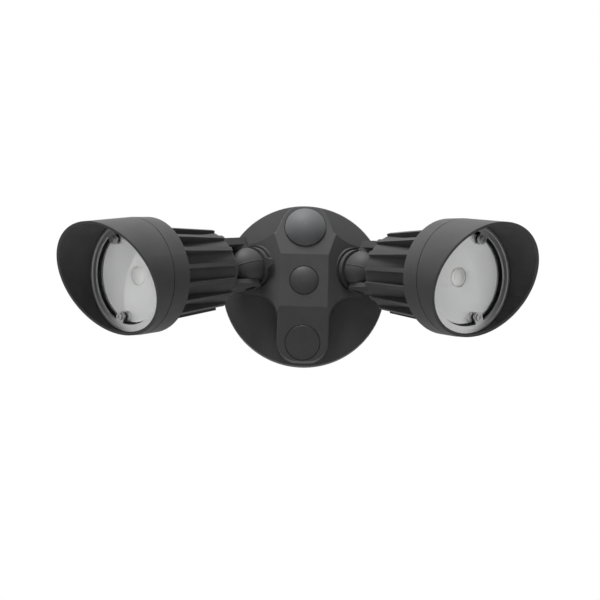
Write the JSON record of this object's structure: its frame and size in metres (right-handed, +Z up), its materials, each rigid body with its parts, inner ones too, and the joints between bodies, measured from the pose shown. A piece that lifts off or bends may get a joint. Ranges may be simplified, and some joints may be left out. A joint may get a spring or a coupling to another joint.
{
  "type": "motion sensor security light",
  "caption": "Wall light with a round ribbed canopy, a dark sensor dome and finned, hooded LED heads on lockable swivel knuckles either side.",
  "frame": {"origin": "centre of the canopy's back face, on the wall, midway between the two box screws", "axes": "+Z up the wall, +Y into the wall, +X to the right as seen by someone who faces the light"},
  "size_m": [0.359, 0.171, 0.127],
  "materials": {
    "cast_housing": "textured charcoal powder coat on die-cast aluminium",
    "sensor_window": "dark infrared-passing polyethylene, semi-gloss",
    "black_plastic": "moulded black nylon, fine matt",
    "cap_plastic": "moulded charcoal plastic, satin",
    "gasket_rubber": "black silicone rubber",
    "foam_rubber": "closed-cell foam rubber",
    "zinc_steel": "zinc-plated steel",
    "black_screw": "blackened stainless steel",
    "screw_steel": "plain stainless steel",
    "bezel_grey": "satin grey painted aluminium",
    "green_steel": "green-passivated earth screw",
    "bare_aluminium": "milled bare aluminium",
    "satin_reflector": "satin white anodised spun aluminium",
    "clear_glass": "clear tempered glass",
    "circuit_board": "green solder-masked board with potted parts",
    "led_phosphor": "pale silicone-covered phosphor on ceramic",
    "white_board": "white solder-masked metal-core board",
    "driver_case": "potted black plastic case",
    "sensor_can": "nickel-plated steel can"
  },
  "bodies": {
    "canopy": {"canopy": "cast_housing", "wall_gasket": "foam_rubber", "mounting_bar": "zinc_steel", "earth_screw": "green_steel", "centre_bolt": "zinc_steel", "centre_cap": "cap_plastic", "sensor_base": "black_plastic", "sensor_board": "circuit_board", "pir_sensor": "sensor_can", "sensor_dome": "sensor_window", "sensor_nut": "black_plastic", "control_board": "circuit_board", "bottom_plug": "cap_plastic", "bottom_plug_gasket": "gasket_rubber", "left_lock_ring": "cast_housing", "left_port_gasket": "gasket_rubber", "right_lock_ring": "cast_housing", "right_port_gasket": "gasket_rubber"},
    "left_stem": {"left_knuckle_stem": "cast_housing", "left_stem_nut": "zinc_steel"},
    "left_head": {"left_heat_sink": "cast_housing", "left_pivot_bolt": "black_screw", "left_pivot_nut": "black_screw", "left_hood": "cast_housing", "left_bezel_ring": "bezel_grey", "left_bezel_screws": "screw_steel", "left_lens": "clear_glass", "left_lens_gasket": "gasket_rubber", "left_reflector": "satin_reflector", "left_led_plate": "bare_aluminium", "left_led_board": "white_board", "left_led_chip": "led_phosphor", "left_driver": "driver_case"},
    "right_stem": {"right_knuckle_stem": "cast_housing", "right_stem_nut": "zinc_steel"},
    "right_head": {"right_heat_sink": "cast_housing", "right_pivot_bolt": "black_screw", "right_pivot_nut": "black_screw", "right_hood": "cast_housing", "right_bezel_ring": "bezel_grey", "right_bezel_screws": "screw_steel", "right_lens": "clear_glass", "right_lens_gasket": "gasket_rubber", "right_reflector": "satin_reflector", "right_led_plate": "bare_aluminium", "right_led_board": "white_board", "right_led_chip": "led_phosphor", "right_driver": "driver_case"}
  },
  "joints": [
    {"name": "left_turn", "type": "hinge", "parent": "canopy", "child": "left_stem", "pos_m": [-0.0464, -0.0276, 0.0098], "axis": [0.6063, 0.776, 0.1736], "range_deg": [-50, 40]},
    {"name": "left_tilt", "type": "hinge", "parent": "left_stem", "child": "left_head", "pos_m": [-0.0464, -0.0276, 0.0098], "axis": [0.3136, -0.0327, -0.949], "range_deg": [-43.1, 28.9]},
    {"name": "right_turn", "type": "hinge", "parent": "canopy", "child": "right_stem", "pos_m": [0.0464, -0.0276, 0.0098], "axis": [0.6063, -0.776, -0.1736], "range_deg": [-50, 40]},
    {"name": "right_tilt", "type": "hinge", "parent": "right_stem", "child": "right_head", "pos_m": [0.0464, -0.0276, 0.0098], "axis": [0.2434, -0.0268, 0.9695], "range_deg": [-36.2, 35.8]}
  ]
}
